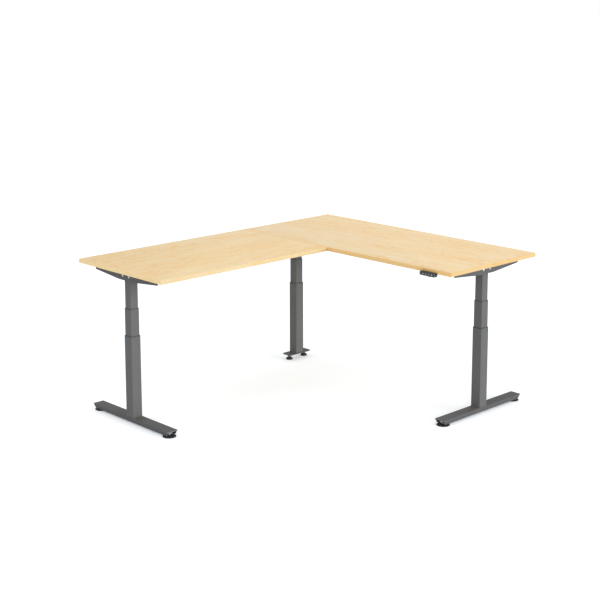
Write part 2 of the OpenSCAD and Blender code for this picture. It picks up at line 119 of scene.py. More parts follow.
class Graph:
    """The node tree of one material, or of the world."""

    def __init__(self, tree: bpy.types.NodeTree) -> None:
        """Start from an empty tree."""
        tree.nodes.clear()
        self.tree = tree

    def node(self, kind: str, settings: dict | None = None, sockets: dict | None = None) -> bpy.types.Node:
        """Add one node.

        Args:
            kind: the node's type name.
            settings: its own properties, such as an operation, set first.
            sockets: values, Values or output sockets for its inputs, by name or number.

        Returns:
            The new node.
        """
        made = self.tree.nodes.new(kind)
        for key, value in (settings or {}).items():
            setattr(made, key, value)
        for key, value in (sockets or {}).items():
            if isinstance(value, Value):
                value = value.socket
            if isinstance(value, Socket):
                self.tree.links.new(value, made.inputs[key])
            else:
                made.inputs[key].default_value = value
        return made

    def math(self, operation: str, *terms: Value | float) -> Value:
        """The result of one Math node on values and numbers."""
        made = self.node("ShaderNodeMath", {"operation": operation}, dict(enumerate(terms)))
        return Value(self, made.outputs[0])

    def place(self) -> Socket:
        """The surface point in the desk's frame."""
        return self.node("ShaderNodeTexCoord").outputs["Object"]

    def stretch(self, at: Socket, by: Point) -> Socket:
        """A point with each coordinate multiplied by its own number."""
        return self.node("ShaderNodeVectorMath", {"operation": "MULTIPLY"}, {0: at, 1: by}).outputs[0]

    def noise(self, at: Socket, scale: float = 1.0, detail: float = 2.0) -> Value:
        """Smooth noise from about 0.2 to 0.8 at a point."""
        made = self.node("ShaderNodeTexNoise", sockets={"Vector": at, "Scale": scale, "Detail": detail})
        return Value(self, made.outputs[0])

    def ramp(self, value: Value, low: float, high: float) -> Value:
        """A smooth step.

        Args:
            value: what is cut.
            low: the value where the step is still 0.
            high: the value from which it is 1.

        Returns:
            The step.
        """
        sockets = {"Value": value, "From Min": low, "From Max": high}
        made = self.node("ShaderNodeMapRange", {"interpolation_type": "SMOOTHSTEP"}, sockets)
        return Value(self, made.outputs[0])

    def mix(self, share: Value, low: Colour, high: Colour) -> Socket:
        """A colour between low, where share is 0, and high, where it is 1."""
        low, high = ((*c, 1.0) if isinstance(c, tuple) else c for c in (low, high))
        return self.node("ShaderNodeMix", {"data_type": "RGBA"}, {0: share, 6: low, 7: high}).outputs[2]

    def bump(self, height: Value, depth: float) -> Socket:
        """A normal for a surface whose relief is depth deep where height is 1."""
        return self.node("ShaderNodeBump", sockets={"Height": height, "Distance": depth}).outputs[0]


# ---------- finishes ----------


@dataclass(frozen=True)
class Finish:
    """A surface finish that makes its own material once."""

    name: str

    def sockets(self, graph: Graph) -> dict:
        """The Principled shader's inputs, worked out for this finish."""
        raise NotImplementedError

    def material(self) -> bpy.types.Material:
        """The finish as a material.

        Returns:
            The material, which is made on the first call.
        """
        made = bpy.data.materials.get(self.name)
        if made is None:
            made = bpy.data.materials.new(self.name)
            made.use_nodes = True
            graph = Graph(made.node_tree)
            shader = graph.node("ShaderNodeBsdfPrincipled", sockets=self.sockets(graph))
            graph.node("ShaderNodeOutputMaterial", sockets={"Surface": shader.outputs[0]})
        return made


class Grain(Enum):
    """The way a board's grain runs, as a turn about Z that brings it along X."""

    ALONG_X = 0.0
    ALONG_Y = -TAU / 4


@dataclass(frozen=True)
class Layer:
    """One size of streak: its noise's scale along and across the grain, and the step that cuts it."""

    along: float
    across: float
    detail: float
    low: float = 0.0
    high: float = 1.0

    def noise(self, graph: Graph, board: Socket) -> Value:
        """The layer's noise, uncut."""
        return graph.noise(graph.stretch(board, (self.along, self.across, self.across)), detail=self.detail)

    def cut(self, graph: Graph, noise: Value) -> Value:
        """A noise as a smooth step from the layer's low to its high."""
        return graph.ramp(noise, self.low, self.high)


@dataclass(frozen=True)
class MapleDecor(Finish):
    """Pale maple: arched figure, warm streaks, fine fibres, short dashes and flecks in clusters."""

    grain: Grain
    pale: Rgb
    warm: Rgb
    line: Rgb
    start: Point = (0.0, 0.0, 0.0)
    drift: Layer = Layer(1.1, 4.2, 2)
    clouds: Layer = Layer(0.9, 5.0, 1, 0.35, 0.65)
    streaks: Layer = Layer(6.5, 46.0, 3, 0.50, 0.66)
    flecks: Layer = Layer(18.0, 85.0, 2, 0.585, 0.71)
    fibres: Layer = Layer(16.0, 900.0, 2, 0.35, 0.75)
    dashes: Layer = Layer(42.0, 640.0, 1, 0.64, 0.74)
    rings_across: float = 13.0
    rings_drift: float = 7.0
    rings_scale: float = 2.2
    relief: float = 0.03 * MM

    def sockets(self, graph: Graph) -> dict:
        """Colour from the figure and the layers, with a low relief along the grain.

        The figure is noise of one number, the way across the board plus the drift, so its lines
        arch. Figure, clouds and streaks warm the pale colour. Fibres, dashes and flecks draw the
        line colour over it, and the flecks gather where there are clouds.

        Args:
            graph: the material's graph.

        Returns:
            The Principled shader's inputs.
        """
        turn = {"Vector": graph.place(), "Location": self.start, "Rotation": (0, 0, self.grain.value)}
        board = graph.node("ShaderNodeMapping", sockets=turn).outputs[0]
        drift = self.drift.noise(graph, board)
        split = graph.node("ShaderNodeSeparateXYZ", sockets={0: board})
        across = Value(graph, split.outputs[1]) + Value(graph, split.outputs[2])
        along_rings = across * self.rings_across + drift * self.rings_drift
        rings = graph.node(
            "ShaderNodeTexNoise",
            {"noise_dimensions": "1D"},
            {"W": along_rings, "Scale": self.rings_scale, "Detail": 3.0},
        )
        figure = graph.ramp(Value(graph, rings.outputs[0]), 0.36, 0.66)
        clouds, streaks, flecks, dashes = (
            layer.cut(graph, layer.noise(graph, board))
            for layer in (self.clouds, self.streaks, self.flecks, self.dashes)
        )
        fibres = self.fibres.noise(graph, board)
        warmth = figure * 0.3 + clouds * 0.25 + streaks * 0.45
        colour = graph.mix(warmth, self.pale, self.warm)
        dark = self.fibres.cut(graph, fibres) * 0.20 + dashes * 0.25 + flecks * (clouds * 0.8 + 0.15)
        return {
            "Base Color": graph.mix(dark, colour, self.line),
            "Roughness": fibres * 0.16 + 0.42,
            "Specular IOR Level": 0.1,
            "Normal": graph.bump(fibres - dashes * 0.5, self.relief),
        }


@dataclass(frozen=True)
class PowderCoat(Finish):
    """Baked powder coat or enamel: a fine speckle and relief over a softly clouded colour."""

    colour: Rgb
    roughness: float = 0.6
    grain: float = 1.1 * MM
    relief: float = 0.16 * MM
    gloss: float = 0.07

    def sockets(self, graph: Graph) -> dict:
        """Colour, roughness and relief from a wide noise and a fine one.

        Args:
            graph: the material's graph.

        Returns:
            The Principled shader's inputs.
        """
        at = graph.place()
        clouds = graph.noise(at, scale=7.0, detail=3)
        peel = graph.noise(at, scale=1 / self.grain, detail=2)
        shade = clouds * 0.4 + graph.ramp(peel, 0.34, 0.66) * 0.6
        return {
            "Base Color": graph.mix(shade, tint(self.colour, 0.84), tint(self.colour, 1.16)),
            "Roughness": peel * 0.18 + (self.roughness - 0.09),
            "Specular IOR Level": self.gloss,
            "Normal": graph.bump(peel, self.relief),
        }


@dataclass(frozen=True)
class Moulding(Finish):
    """Moulded plastic or rubber with a spark-eroded texture."""

    colour: Rgb
    roughness: float = 0.5
    grain: float = 0.35 * MM
    relief: float = 0.02 * MM

    def sockets(self, graph: Graph) -> dict:
        """A nearly even colour with a fine pitted relief.

        Args:
            graph: the material's graph.

        Returns:
            The Principled shader's inputs.
        """
        at = graph.place()
        pits = graph.noise(at, scale=1 / self.grain, detail=1)
        rubbed = graph.ramp(graph.noise(at, scale=24.0, detail=2), 0.3, 0.8)
        return {
            "Base Color": graph.mix(rubbed, self.colour, tint(self.colour, 1.25, 0.004)),
            "Roughness": pits * 0.16 + (self.roughness - 0.08),
            "Normal": graph.bump(pits, self.relief),
        }


@dataclass(frozen=True)
class BareMetal(Finish):
    """Plated or machined steel, with tool marks round or along it."""

    colour: Rgb
    marks: Point
    roughness: float = 0.3
    relief: float = 0.015 * MM

    def sockets(self, graph: Graph) -> dict:
        """Metal whose roughness and relief follow the tool marks.

        Args:
            graph: the material's graph.

        Returns:
            The Principled shader's inputs.
        """
        at = graph.place()
        lines = graph.noise(graph.stretch(at, self.marks), detail=2)
        bloom = graph.ramp(graph.noise(at, scale=60.0, detail=2), 0.35, 0.7)
        return {
            "Base Color": graph.mix(bloom, self.colour, tint(self.colour, 0.82)),
            "Metallic": 1.0,
            "Roughness": lines * 0.2 + (self.roughness - 0.1),
            "Normal": graph.bump(lines, self.relief),
        }


def maple(
    name: str, grain: Grain, middle: Rgb, start: tuple[float, float], spread: float = 0.6
) -> MapleDecor:
    """A decor whose pale, warm and line colours lie round its middle colour.

    Args:
        name: what the finish is called, after "maple_".
        grain: the way its grain runs.
        middle: the middle colour, with channels from 0 to 255.
        start: how far the pattern is moved along X and Y, so that no two boards match.
        spread: how far the three colours stand apart.

    Returns:
        The finish.
    """
    red, green, blue = middle
    pale = srgb(red, green + 8 * spread, blue + 17 * spread)
    warm = srgb(red, green - 12 * spread, blue - 26 * spread)
    line = srgb(red - 6 * spread, green - 30 * spread, blue - 62 * spread)
    return MapleDecor(f"maple_{name}", grain, pale, warm, line, (*start, 0.0))


MAPLE_X = maple("along_x", Grain.ALONG_X, (232, 206, 162), (0.3, 0.1), spread=1.0)
MAPLE_Y = maple("along_y", Grain.ALONG_Y, (229, 203, 157), (0.8, 0.55), spread=1.0)
# Four copies of one edge band, each given the colour its sides looked under light. The main top's end bands
# and the return's long bands, whose right sides face the key lamp, are darker: painted shade that offsets
# that lamp.
MAIN_LONG_BAND = maple("main_long_band", Grain.ALONG_X, (232, 191, 129), (1.7, 0.4))
MAIN_END_BAND_PAINTED_SHADE = maple("main_end_band_painted_shade", Grain.ALONG_Y, (210, 177, 124), (0.2, 1.3))
RETURN_END_BAND = maple("return_end_band", Grain.ALONG_X, (239, 211, 161), (0.9, 0.7))
RETURN_LONG_BAND_PAINTED_SHADE = maple("return_long_band_painted_shade", Grain.ALONG_Y, (212, 188, 143), (1.2, 0.3))
FRAME_COAT = PowderCoat("graphite_coat", srgb(93, 93, 94))
TUBE_COAT = PowderCoat("graphite_tube_coat", srgb(99, 99, 98))
# Lighter than the frame coat: a painted highlight for the light line along the long feet's cut ends.
LIP_COAT_PAINTED_HIGHLIGHT = PowderCoat("graphite_lip_painted_highlight", srgb(108, 108, 109))
# Darker than the frame coat: painted shade for the column heads and their arms, which stand in the shade
# under the tops.
HEAD_COAT_PAINTED_SHADE = PowderCoat("graphite_head_painted_shade", srgb(86, 87, 89), roughness=0.5)
ENAMEL = PowderCoat(
    "black_enamel", srgb(44, 45, 48), roughness=0.34, grain=1.6 * MM, relief=0.03 * MM, gloss=0.5
)
BOX_PLASTIC = Moulding("box_plastic", srgb(46, 47, 50), roughness=0.48)
SOCKET_PLASTIC = Moulding("socket_plastic", srgb(26, 26, 28), roughness=0.38)
HANDSET_PLASTIC = Moulding("handset_plastic", srgb(36, 38, 41), roughness=0.4)
BUTTON_RUBBER = Moulding("button_rubber", srgb(56, 58, 62), roughness=0.6)
PALE_MARKS = Moulding("pale_marks", srgb(186, 190, 194), roughness=0.5)
GLIDE_PLASTIC = Moulding("glide_plastic", srgb(31, 32, 34), roughness=0.46)
GUIDE_PLASTIC = Moulding("guide_plastic", srgb(40, 41, 43), roughness=0.5)
ZINC = BareMetal("bright_zinc", srgb(214, 216, 220), (900.0, 900.0, 900.0), roughness=0.3)
# Dark metal for the screws; on the cone glides' nuts and stems under the corner plate it is painted shade.
DARK_SCREW_AND_PAINTED_SHADE = BareMetal("black_oxide_and_painted_shade", srgb(92, 94, 98), (700.0, 700.0, 700.0), roughness=0.42)
STEEL = BareMetal("turned_steel", srgb(196, 197, 200), (30.0, 30.0, 1900.0), roughness=0.28)

SLOT_FINISH: dict[str, Finish] = {
    "board": MAPLE_X,
    "frame_coat": FRAME_COAT,
    "tube_coat": TUBE_COAT,
    "head_steel": HEAD_COAT_PAINTED_SHADE,
    "bolt_zinc": ZINC,
    "motor_case": ENAMEL,
    "box_case": BOX_PLASTIC,
    "handset_case": HANDSET_PLASTIC,
    "button_rubber": BUTTON_RUBBER,
    "glide_plastic": GLIDE_PLASTIC,
    "guide_plastic": GUIDE_PLASTIC,
    "spindle_steel": STEEL,
}


# ---------- surfaces ----------


@dataclass(frozen=True)
class Place:
    """A local frame: its origin, and the directions of its x and z axes in the frame outside it."""

    origin: Point = (0.0, 0.0, 0.0)
    x: Point = (1.0, 0.0, 0.0)
    z: Point = (0.0, 0.0, 1.0)

    def out(self, points: Array) -> Array:
        """Local points in the outer frame: x X + y Y + z Z + origin, with Y square to both."""
        x, z = np.array(self.x), np.array(self.z)
        return points @ np.stack([x, np.cross(z, x), z]) + np.array(self.origin)


def facing_down(x: float, y: float, z: float) -> Place:
    """The frame at a point whose z axis points down."""
    return Place((x, y, z), (1, 0, 0), (0, 0, -1))


class Cap(Enum):
    """Which ends of a wrapped surface are closed with a flat face."""

    NONE = (False, False)
    FIRST = (True, False)
    LAST = (False, True)
    BOTH = (True, True)


def outline(width: Sizes, depth: Sizes, radius: Sizes, steps: int = 6) -> Array:
    """Rounded rectangles, one for each row.

    Each corner is a quarter circle of the row's radius about a centre that lies half the size
    less the radius from the middle, and straight sides join the quarters.

    Args:
        width: size along x, a number or one for each row.
        depth: size along y, likewise.
        radius: corner radius, likewise.
        steps: steps in each quarter circle.

    Returns:
        Points (rows, 4 * (steps + 1), 2), anticlockwise.
    """
    w, d, r = (np.atleast_1d(v).astype(float)[:, None] for v in np.broadcast_arrays(width, depth, radius))
    r = np.clip(r, LEAST_RADIUS, np.minimum(w, d) / 2)
    angle = (np.arange(4)[:, None] / 4 + np.linspace(0, 0.25, steps + 1)).ravel() * TAU
    side_x = np.repeat([1, -1, -1, 1], steps + 1)
    side_y = np.repeat([1, 1, -1, -1], steps + 1)
    x = side_x * (w / 2 - r) + r * np.cos(angle)
    y = side_y * (d / 2 - r) + r * np.sin(angle)
    return np.stack([x, y], -1)


def lift(sections: Array, heights: Sizes) -> Array:
    """Sections carried up z: the points of each row get that row's height."""
    z = np.broadcast_to(np.asarray(heights, float)[:, None], sections.shape[:2])
    return np.concatenate([sections, z[..., None]], -1)


def soft_ends(length: float, radius: float, steps: int = 4) -> tuple[Array, Array]:
    """A bar's two ends, rounded by quarter circles.

    At angle t of the quarter the height is radius (1 - cos t) and the inset radius (1 - sin t).

    Args:
        length: the bar's length.
        radius: the quarter circles' radius.
        steps: steps in each quarter circle.

    Returns:
        The heights of the rows, and how far each is inset.
    """
    t = np.linspace(0, TAU / 4, steps + 1)
    height, inset = radius * (1 - np.cos(t)), radius * (1 - np.sin(t))
    return np.concatenate([height, length - height[::-1]]), np.concatenate([inset, inset[::-1]])


def block(width: float, depth: float, height: float, corner: float, edge: float, steps: int = 6) -> Array:
    """A box standing on z = 0, with corner radii about z and soft edges at both ends."""
    z, inset = soft_ends(height, edge)
    return lift(outline(width - 2 * inset, depth - 2 * inset, corner - inset, steps), z)


def to_flat(angle: Array) -> Array:
    """A hexagon's inner over its own radius: the cosine of the angle from the nearest flat's middle."""
    return np.cos(np.mod(angle, TAU / 6) - TAU / 12)


def turned(profile: Sequence[Row], sides: int = 48) -> Array:
    """A profile turned about z.

    The radius at an angle is the round one or, by a row's share, the hexagon's.

    Args:
        profile: rows of (radius, height) or (radius, height, share of hexagon).
        sides: points round each row.

    Returns:
        Points (rows, sides, 3).
    """
    rows = np.array([(*row, 0.0)[:3] for row in profile])
    a = np.arange(sides) * TAU / sides
    hexagon = 1 / to_flat(a)
    radius = rows[:, :1] * (1 + rows[:, 2:] * (hexagon - 1))
    return np.stack([radius * np.cos(a), radius * np.sin(a), np.repeat(rows[:, 1:2], sides, 1)], -1)


def thread(diameter: float, pitch: float, low: float, high: float, sides: int = 24) -> Array:
    """A screw thread.

    The radius swings by a cosine of height over pitch less turns made, and fades at both ends.

    Args:
        diameter: over the crests.
        pitch: from crest to crest.
        low: height where it starts.
        high: height where it ends.
        sides: points round each row.

    Returns:
        Points (rows, sides, 3), with six rows to a pitch.
    """
    z = np.arange(low, high, pitch / 6)
    a = np.arange(sides) / sides
    depth = 0.28 * pitch
    swing = depth * (1 - np.cos(TAU * (z[:, None] / pitch - a)))
    fade = np.clip(np.minimum(z - low, high - z) / pitch, 0, 1)[:, None]
    radius = diameter / 2 - depth + (swing - depth) * fade
    z = np.repeat(z[:, None], sides, 1)
    return np.stack([radius * np.cos(a * TAU), radius * np.sin(a * TAU), z], -1)


@dataclass(frozen=True)
class Screw:
    """A low round screw head with a recess for its key: a hexagon, or else a cross.

    The foot is a share of the head's width, the floor a share of the recess's, and the wall
    and the depth are shares of the height. The dome ends at an angle from its axis.
    """

    width: float
    height: float
    recess: float
    hexagonal: bool = False
    foot: float = 0.97
    wall: float = 0.25
    dome_end: float = 0.62
    floor: float = 0.94
    depth: float = 0.55
    sides: int = 48

    def head(self) -> Array:
        """The head standing on z = 0.

        Its rows go up the wall and over the dome to the recess. A cross's radius at an angle is
        the larger of two crossed bars' radii there, with bars two sevenths as wide as long.

        Returns:
            Points (rows, sides, 3).
        """
        r, half, bar = self.width / 2, self.recess / 2, self.recess / 7
        turns = np.linspace(TAU / 4, self.dome_end, 6)
        rises = self.height * (self.wall + (1 - self.wall) * np.cos(turns))
        rows = turned([(self.foot * r, 0.0), *zip(r * np.sin(turns), rises)], self.sides)
        a = np.arange(self.sides) * TAU / self.sides
        if self.hexagonal:
            rim = half / to_flat(a)
        else:
            c, s = np.abs(np.cos(a)) + TINY, np.abs(np.sin(a)) + TINY
            rim = np.maximum(np.minimum(half / c, bar / s), np.minimum(bar / c, half / s))
        ring = np.stack([rim * np.cos(a), rim * np.sin(a)], -1)
        top = float(rows[-1, 0, 2])
        hollow = lift(np.stack([ring, ring * self.floor]), [top, top - self.depth * self.height])
        return np.concatenate([rows, hollow])


def put(name: str, data: bpy.types.ID) -> bpy.types.Object:
    """Put some data in the scene as an object.

    Args:
        name: the object's name.
        data: its mesh, lamp or camera.

    Returns:
        The object.
    """
    made = bpy.data.objects.new(name, data)
    bpy.context.scene.collection.objects.link(made)
    return made


class Shell:
    """Surfaces gathered into one mesh, each with its own finish."""

    def __init__(self, name: str) -> None:
        """Start an empty mesh.

        Args:
            name: the piece's name.
        """
        self.name = name
        self.points: list[Array] = []
        self.faces: list[list[int]] = []
        self.marks: list[int] = []
        self.finishes: list[Finish] = []
        self.count = 0

    def add(
        self, grid: Array, finish: Finish, *places: Place, wrap: bool = True, cap: Cap = Cap.BOTH
    ) -> "Shell":
        """Add one surface given as rows of points.

        Args:
            grid: points (rows, columns, 3); columns run anticlockwise seen from the last row.
            finish: the surface's finish.
            places: frames it stands in, the innermost first.
            wrap: the last column joins the first.
            cap: which end rows are closed.

        Returns:
            This shell.
        """
        rows, columns = grid.shape[:2]
        number = np.arange(rows * columns).reshape(rows, columns) + self.count
        if wrap:
            number = np.concatenate([number, number[:, :1]], 1)
        quads = np.stack([number[:-1, :-1], number[:-1, 1:], number[1:, 1:], number[1:, :-1]], -1)
        faces = quads.reshape(-1, 4).tolist()
        ends = number[:, :columns]
        if cap.value[0]:
            faces.append(ends[0, ::-1].tolist())
        if cap.value[1]:
            faces.append(ends[-1].tolist())
        points = grid.reshape(-1, 3)
        for place in places:
            points = place.out(points)
        if finish not in self.finishes:
            self.finishes.append(finish)
        self.points.append(points)
        self.faces += faces
        self.marks += [self.finishes.index(finish)] * len(faces)
        self.count += rows * columns
        return self

    def build(self, body: str, slot: str, replaces: Sequence[str] = (), merge: bool = False) -> None:
        """Make the object, smooth its shallow edges and hand it to its body.

        Args:
            body: the CAD body it rides on.
            slot: the record's material slot; not used.
            replaces: the CAD nodes it stands for.
            merge: join points that coincide.
        """
        mesh = bpy.data.meshes.new(self.name)
        mesh.from_pydata(np.concatenate(self.points).tolist(), [], self.faces)
        for finish in self.finishes:
            mesh.materials.append(finish.material())
        mesh.polygons.foreach_set("material_index", self.marks)
        if merge:
            weld(mesh)
        mesh.shade_smooth()
        mesh.set_sharp_from_angle(angle=SMOOTH_UP_TO)
        made = put(self.name, mesh)
        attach(made, body)
        if replaces:
            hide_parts(*replaces)
        LOG.info("%s: %d faces on %s", self.name, len(mesh.polygons), body)


def weld(mesh: bpy.types.Mesh) -> None:
    """Join a mesh's coincident points and drop the faces that close up.

    Args:
        mesh: the mesh, which is changed in place.
    """
    edit = bmesh.new()
    edit.from_mesh(mesh)
    bmesh.ops.remove_doubles(edit, verts=edit.verts, dist=MERGE)
    bmesh.ops.dissolve_degenerate(edit, edges=edit.edges, dist=MERGE)
    edit.to_mesh(mesh)
    edit.free()


# ---------- worktops ----------


@dataclass
class Worktop:
    """A decor-faced panel with an edge band glued to each side."""

    node: str
    face: Finish
    x_band: Finish
    y_band: Finish
    band: float = 2.0 * MM
    arris: float = 1.5 * MM
    corner: float = 0.2 * MM
    glue_line: float = 0.15 * MM

    def build(self) -> None:
        """Make the panel and its four bands."""
        low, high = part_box(self.node)
        width, depth, height = high - low
        middle = (low + high) / 2
        panel = block(width - 2 * self.band, depth - 2 * self.band, height, self.corner, self.glue_line)
        shell = Shell(f"{self.node}_panel").add(panel, self.face, Place((middle.x, middle.y, low.z)))
        shell.build("desktop", "board", [self.node])
        for name, side in (("front", -1), ("back", 1)):
            start = (low.x, middle.y + side * (depth - self.band) / 2, middle.z)
            place = Place(start, (0, side, 0), (1, 0, 0))
            self.strip(f"{self.node}_band_{name}", place, width, self.x_band)
        for name, side in (("left", -1), ("right", 1)):
            start = (middle.x + side * (width - self.band) / 2, low.y + self.band, middle.z)
            place = Place(start, (side, 0, 0), (0, 1, 0))
            self.strip(f"{self.node}_band_{name}", place, depth - 2 * self.band, self.y_band)

    def strip(self, name: str, place: Place, length: float, finish: Finish) -> None:
        """Make one band, whose outer edges have a wider radius than the glued ones.

        Its section is the right half of one rounded rectangle and the left half of another. At
        its ends the section shrinks by the quarter circles' inset.

        Args:
            name: the piece's name.
            place: the frame at its start, with x outwards and z along it.
            length: along z.
            finish: its finish.
        """
        low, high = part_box(self.node)
        z, inset = soft_ends(length, self.glue_line, steps=2)
        height = high.z - low.z
        glued = outline(self.band, height, self.glue_line)[0]
        outer = outline(2 * self.band, height, self.arris)[0] - (self.band / 2, 0)
        section = np.where(glued[:, :1] > 0, outer, glued)
        shrink = 1 - 2 * inset[:, None, None] / np.array([self.band, height])
        Shell(name).add(lift(section[None] * shrink, z), finish, place).build("desktop", "board")


# ---------- columns ----------


@dataclass
class Column:
    """One lifting column: its name, and the direction of its arm's own x axis."""

    name: str
    arm_x: Point

    def place(self) -> Place:
        """The column's frame.

        Returns:
            A frame on the floor under the column's axis, with the arm along its y.
        """
        low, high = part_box(f"{self.name}_column_head")
        middle = (low + high) / 2
        return Place((middle.x, middle.y, 0.0), self.arm_x)


COLUMNS = (
    Column("right", (1.0, 0.0, 0.0)),
    Column("corner", (-1.0, 0.0, 0.0)),
    Column("left", (0.0, -1.0, 0.0)),
)


@dataclass
class ArmHardware:
    """The bolts through each arm, and the screws that hold the arms up to the tops."""

    bolt: Screw = Screw(14 * MM, 4 * MM, 5 * MM, hexagonal=True)
    bolt_pitch: float = 60 * MM
    bolt_z: float = 895 * MM
    face: float = 37 * MM
    inner_face: float = 31 * MM
    shank: float = 8 * MM
    shank_pitch: float = 1.25 * MM
    shank_end: float = 2 * MM
    nut_h: float = 6 * MM
    nut_r: float = 6.4 * MM
    nut_chamfer: tuple[float, float] = (0.8 * MM, 0.5 * MM)
    screw: Screw = Screw(9 * MM, 3 * MM, 5 * MM)
    screw_z: float = 917 * MM
    screws_mm: tuple[Row, ...] = ((-20, 110), (20, 190), (-20, 270))

    def build(self) -> None:
        """Make both sets."""
        bolts, screws = Shell("arm_bolt_set"), Shell("arm_screw_set")
        bolt, screw = self.bolt.head(), self.screw.head()
        start, end, r = self.inner_face - self.nut_h, self.inner_face, self.nut_r
        inset, rise = self.nut_chamfer
        nut = turned([(r - inset, start), (r, start + rise, 1), (r, end, 1)])
        shank = thread(self.shank, self.shank_pitch, start - self.shank_end, self.face)
        for column in COLUMNS:
            seat = column.place()
            for side in (-1, 1):
                for y in (-self.bolt_pitch / 2, self.bolt_pitch / 2):
                    axis = Place((0, y, self.bolt_z), (0, 0, 1), (side, 0, 0))
                    bolts.add(bolt, ZINC, Place((0, 0, self.face)), axis, seat)
                    bolts.add(nut, ZINC, axis, seat)
                    bolts.add(shank, ZINC, axis, seat)
                for x, y in self.screws_mm:
                    spot = facing_down(side * x * MM, side * y * MM, self.screw_z)
                    screws.add(screw, DARK_SCREW_AND_PAINTED_SHADE, spot, seat)
        bolts.build("desktop", "bolt_zinc", ["arm_bolts"])
        screws.build("desktop", "bolt_zinc")


@dataclass
class RailPair:
    """Two box rails with rounded corners, welded to end plates."""

    node: str
    along: Point
    rail_w: float = 20 * MM
    rail_h: float = 38 * MM
    corner: float = 3 * MM
    pitch: float = 100 * MM
    plate_w: float = 24 * MM
    plate_t: float = 2 * MM
    plate_corner: float = 2 * MM
    plate_edge: float = 0.3 * MM
    weld_mm: tuple[Row, ...] = ((0.0, 1.9), (0.5, 1.1), (1.1, 0.5), (1.9, 0.12), (2.6, 0.0))

    def build(self) -> None:
        """Make the rails, their plates and the weld fillets between them.

        A rail's section widens toward each plate by the fillet's own rows of (distance from the
        plate, widening).
        """
        low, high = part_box(self.node)
        middle = (low + high) / 2
        length = (high - low).dot(Vector(self.along))
        shell = Shell(f"{self.node}_welded")
        run, fillet = np.array(self.weld_mm).T * MM
        run = run + self.plate_t
        z = np.concatenate([run, length - run[::-1]])
        out = np.concatenate([fillet, fillet[::-1]])
        rail = lift(outline(self.rail_w + 2 * out, self.rail_h, self.corner), z)
        plate = block(self.plate_w, self.rail_h, self.plate_t, self.plate_corner, self.plate_edge)
        x, y = self.along[:2]
        for side in (-1, 1):
            start = (
                middle.x - x * length / 2 - y * side * self.pitch / 2,
                middle.y - y * length / 2 + x * side * self.pitch / 2,
                middle.z,
            )
            place = Place(start, (-y, x, 0.0), self.along)
            shell.add(rail, FRAME_COAT, place)
            for z0 in (0.0, length - self.plate_t):
                shell.add(plate, FRAME_COAT, Place((0, 0, z0)), place)
        shell.build("desktop", "frame_coat", [self.node])


@dataclass
class Gearmotor:
    """A right-angle gearbox with its motor lying along the rails.

    The flange's rows are (inset, height). The can's are (inset, height from its start) near the
    gearbox and (inset, height from its end) far from it, and the hub's are (radius, height from
    the can's end), all in mm.
    """

    column: Column
    size: float = 44 * MM
    bottom: float = 875 * MM
    height: float = 40 * MM
    corner: float = 6 * MM
    edge: float = 1.5 * MM
    axis_z: float = 895 * MM
    can_r: float = 17.5 * MM
    flange_r: float = 19 * MM
    length: float = 105 * MM
    flange_mm: tuple[Row, ...] = ((0, -1), (0, 10), (1, 11))
    near_mm: tuple[Row, ...] = ((0, 9), (0, 24), (0.5, 24.4), (0.5, 25.4), (0, 25.8))
    far_mm: tuple[Row, ...] = (
        (0, -14), (0.7, -13.5), (0.7, -12.2), (0, -11.7), (0, -2.5), (0.8, -0.8), (2.6, 0)
    )
    hub_mm: tuple[Row, ...] = ((9.2, 0), (8.6, -0.6), (7.8, -0.6), (7.4, 0), (7.4, 4), (6.6, 5))
    sides: int = 64
    screw: Screw = Screw(5 * MM, 1.8 * MM, 3 * MM)
    end_screw_r: float = 13 * MM
    lid_screw_r: float = 23.5 * MM

    def build(self) -> None:
        """Make the housing, its cover screws, the motor can and its end cap."""
        name = f"{self.column.name}_gearmotor"
        seat = self.column.place()
        shell = Shell(f"{name}_unit")
        housing = block(self.size, self.size, self.height, self.corner, self.edge)
        shell.add(housing, ENAMEL, Place((0, 0, self.bottom)), seat)
        motor = Place((-self.size / 2, 0, self.axis_z), (0, 0, 1), (-1, 0, 0))
        end = self.length
        flange = [(self.flange_r - inset * MM, z * MM) for inset, z in self.flange_mm]
        can = [(self.can_r - inset * MM, z * MM) for inset, z in self.near_mm]
        can += [(self.can_r - inset * MM, end + z * MM) for inset, z in self.far_mm]
        can += [(r * MM, end + z * MM) for r, z in self.hub_mm]
        for profile in (flange, can):
            shell.add(turned(profile, self.sides), ENAMEL, motor, seat)
        screw = self.screw.head()
        for turn in (0.25, 0.75):
            spot = self.round_spot(self.end_screw_r, turn, end)
            shell.add(screw, ZINC, spot, motor, seat)
        for k in range(4):
            spot = self.round_spot(self.lid_screw_r, (k + 0.5) / 4, self.bottom + self.height)
            shell.add(screw, ZINC, spot, seat)
        shell.build("desktop", "motor_case", [name])

    def round_spot(self, radius: float, turn: float, z: float) -> Place:
        """The frame at a radius, a part of a turn and a height."""
        return Place((radius * math.cos(TAU * turn), radius * math.sin(TAU * turn), z))


# ---------- feet and glides ----------


class GlideKind(Enum):
    """The two mouldings: a wide low dome under the long feet, a cone under the plate."""

    DOME = "dome"
    CONE = "cone"


